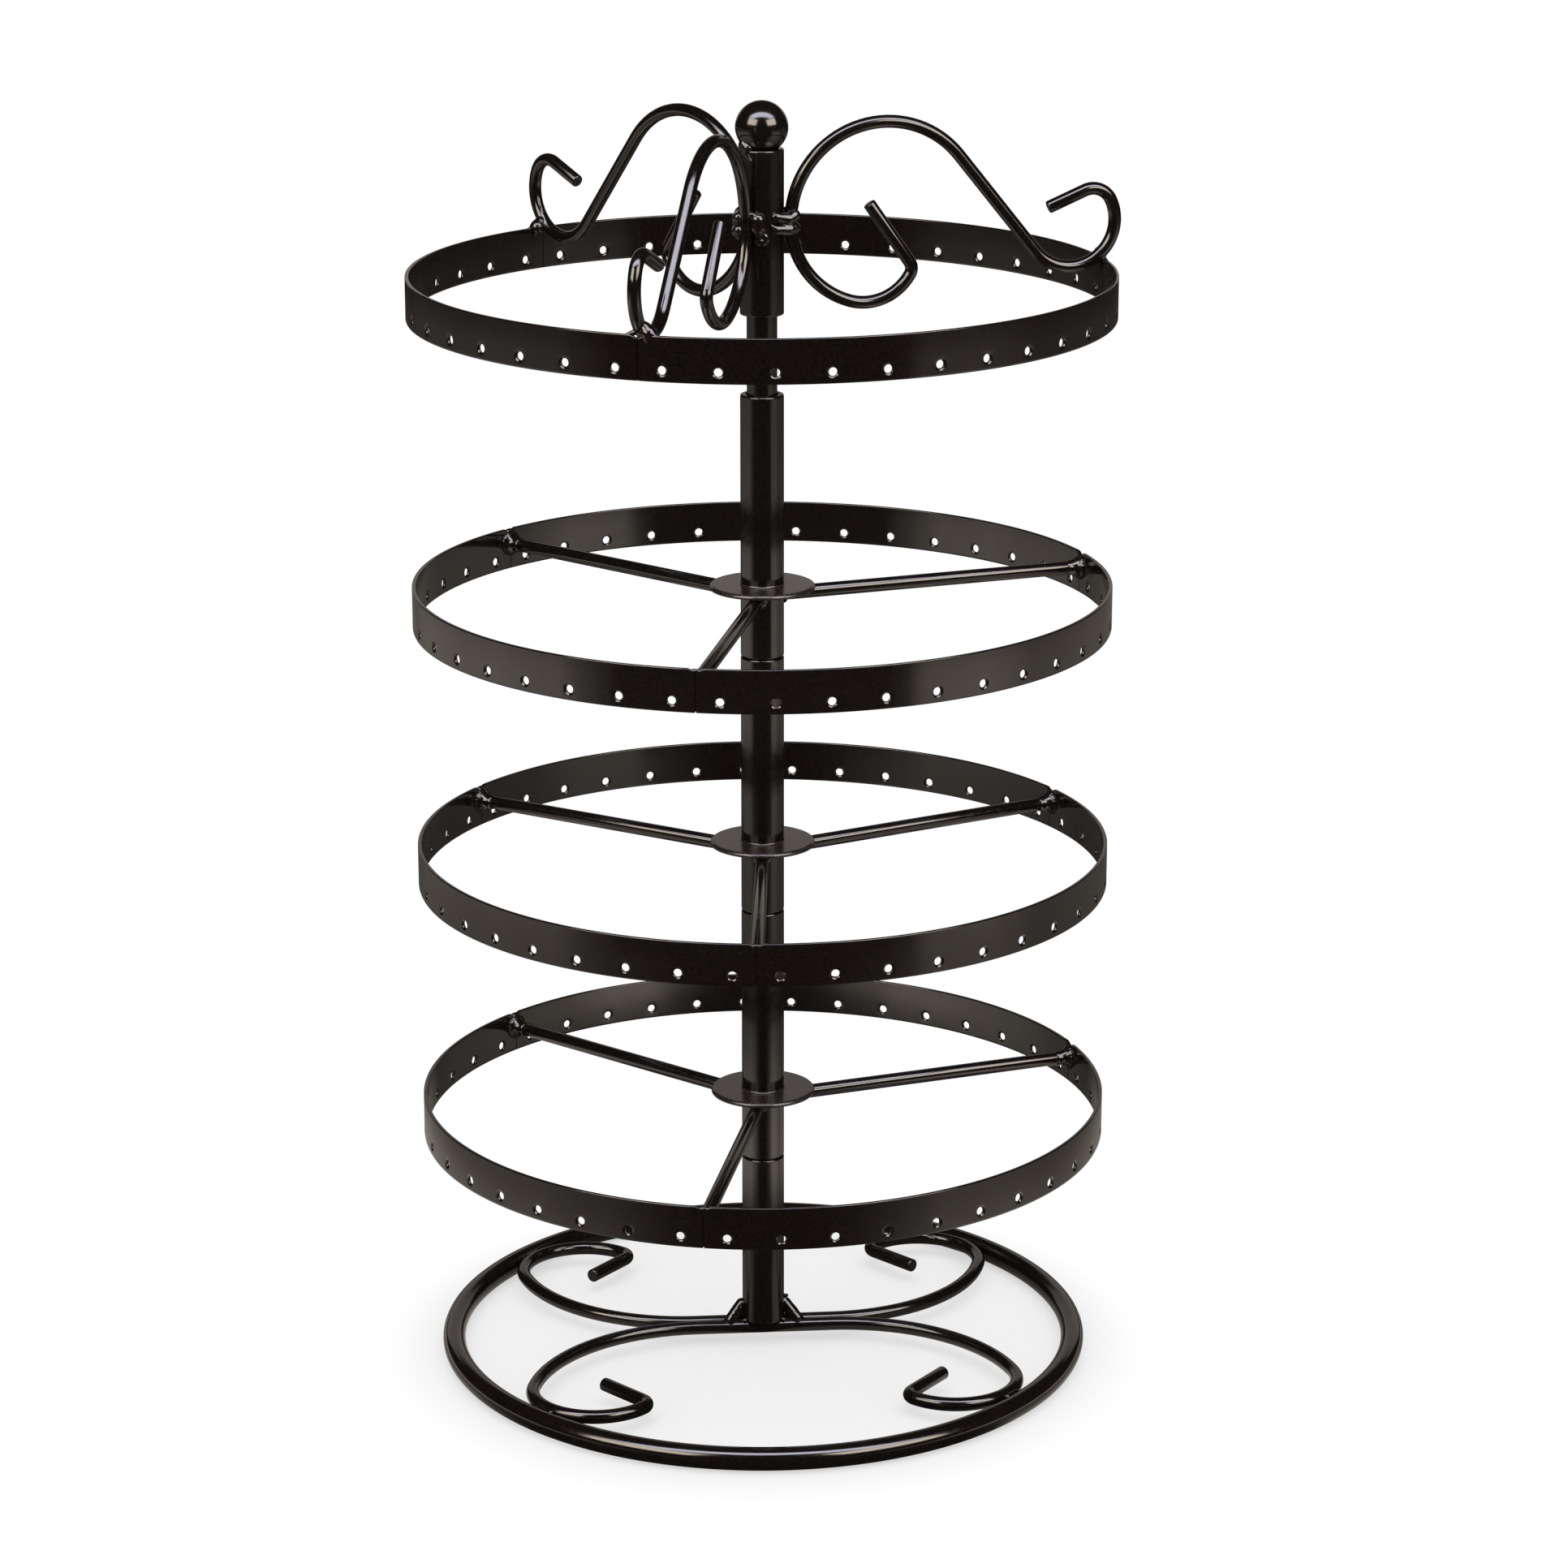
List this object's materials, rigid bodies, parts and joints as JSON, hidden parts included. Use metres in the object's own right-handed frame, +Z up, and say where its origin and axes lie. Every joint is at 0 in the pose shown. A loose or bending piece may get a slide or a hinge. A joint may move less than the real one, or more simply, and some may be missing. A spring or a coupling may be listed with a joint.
{
  "type": "rotating earring stand",
  "caption": "Rotating earring stand: perforated bands on spokes and scrolled arms turn on a central pole above a ring base of scrolled wire.",
  "frame": {"origin": "on the table, on the pole's axis, under the middle of the base ring", "axes": "+Z up along the pole, +X along the two base scrolls, -Y towards the side the stand is seen from"},
  "size_m": [0.183, 0.18, 0.3345],
  "materials": {
    "wire": "gloss black lacquer on round wire and bar",
    "strip": "gloss black lacquer on flat strip",
    "pole": "gloss black lacquer on tube, rod, plate and ball",
    "weld": "gloss black lacquer over weld bead"
  },
  "bodies": {
    "base": {"base_ring": "wire", "front_scroll": "wire", "rear_scroll": "wire", "base_post": "pole", "centre_rod": "pole", "post_welds": "weld", "ring_welds": "weld"},
    "lower_tier": {"lower_sleeve": "pole", "lower_hub_disc": "pole", "lower_spoke_1": "wire", "lower_spoke_2": "wire", "lower_spoke_3": "wire", "lower_strip_1": "strip", "lower_strip_2": "strip", "lower_strip_3": "strip", "lower_spoke_welds": "weld"},
    "middle_tier": {"middle_sleeve": "pole", "middle_hub_disc": "pole", "middle_spoke_1": "wire", "middle_spoke_2": "wire", "middle_spoke_3": "wire", "middle_strip_1": "strip", "middle_strip_2": "strip", "middle_strip_3": "strip", "middle_spoke_welds": "weld"},
    "upper_tier": {"upper_sleeve": "pole", "upper_hub_disc": "pole", "upper_spoke_1": "wire", "upper_spoke_2": "wire", "upper_spoke_3": "wire", "upper_strip_1": "strip", "upper_strip_2": "strip", "upper_strip_3": "strip", "upper_spoke_welds": "weld"},
    "top_tier": {"top_sleeve": "pole", "finial_ball": "pole", "top_arm_1": "wire", "top_arm_2": "wire", "top_arm_3": "wire", "top_strip_1": "strip", "top_strip_2": "strip", "top_strip_3": "strip", "top_arm_welds": "weld"}
  },
  "joints": [
    {"name": "lower_turn", "type": "hinge", "parent": "base", "child": "lower_tier", "pos_m": [0, 0, 0], "axis": [0, 0, 1], "continuous": true},
    {"name": "middle_turn", "type": "hinge", "parent": "base", "child": "middle_tier", "pos_m": [0, 0, 0], "axis": [0, 0, 1], "continuous": true},
    {"name": "upper_turn", "type": "hinge", "parent": "base", "child": "upper_tier", "pos_m": [0, 0, 0], "axis": [0, 0, 1], "continuous": true},
    {"name": "top_turn", "type": "hinge", "parent": "base", "child": "top_tier", "pos_m": [0, 0, 0], "axis": [0, 0, 1], "continuous": true}
  ]
}
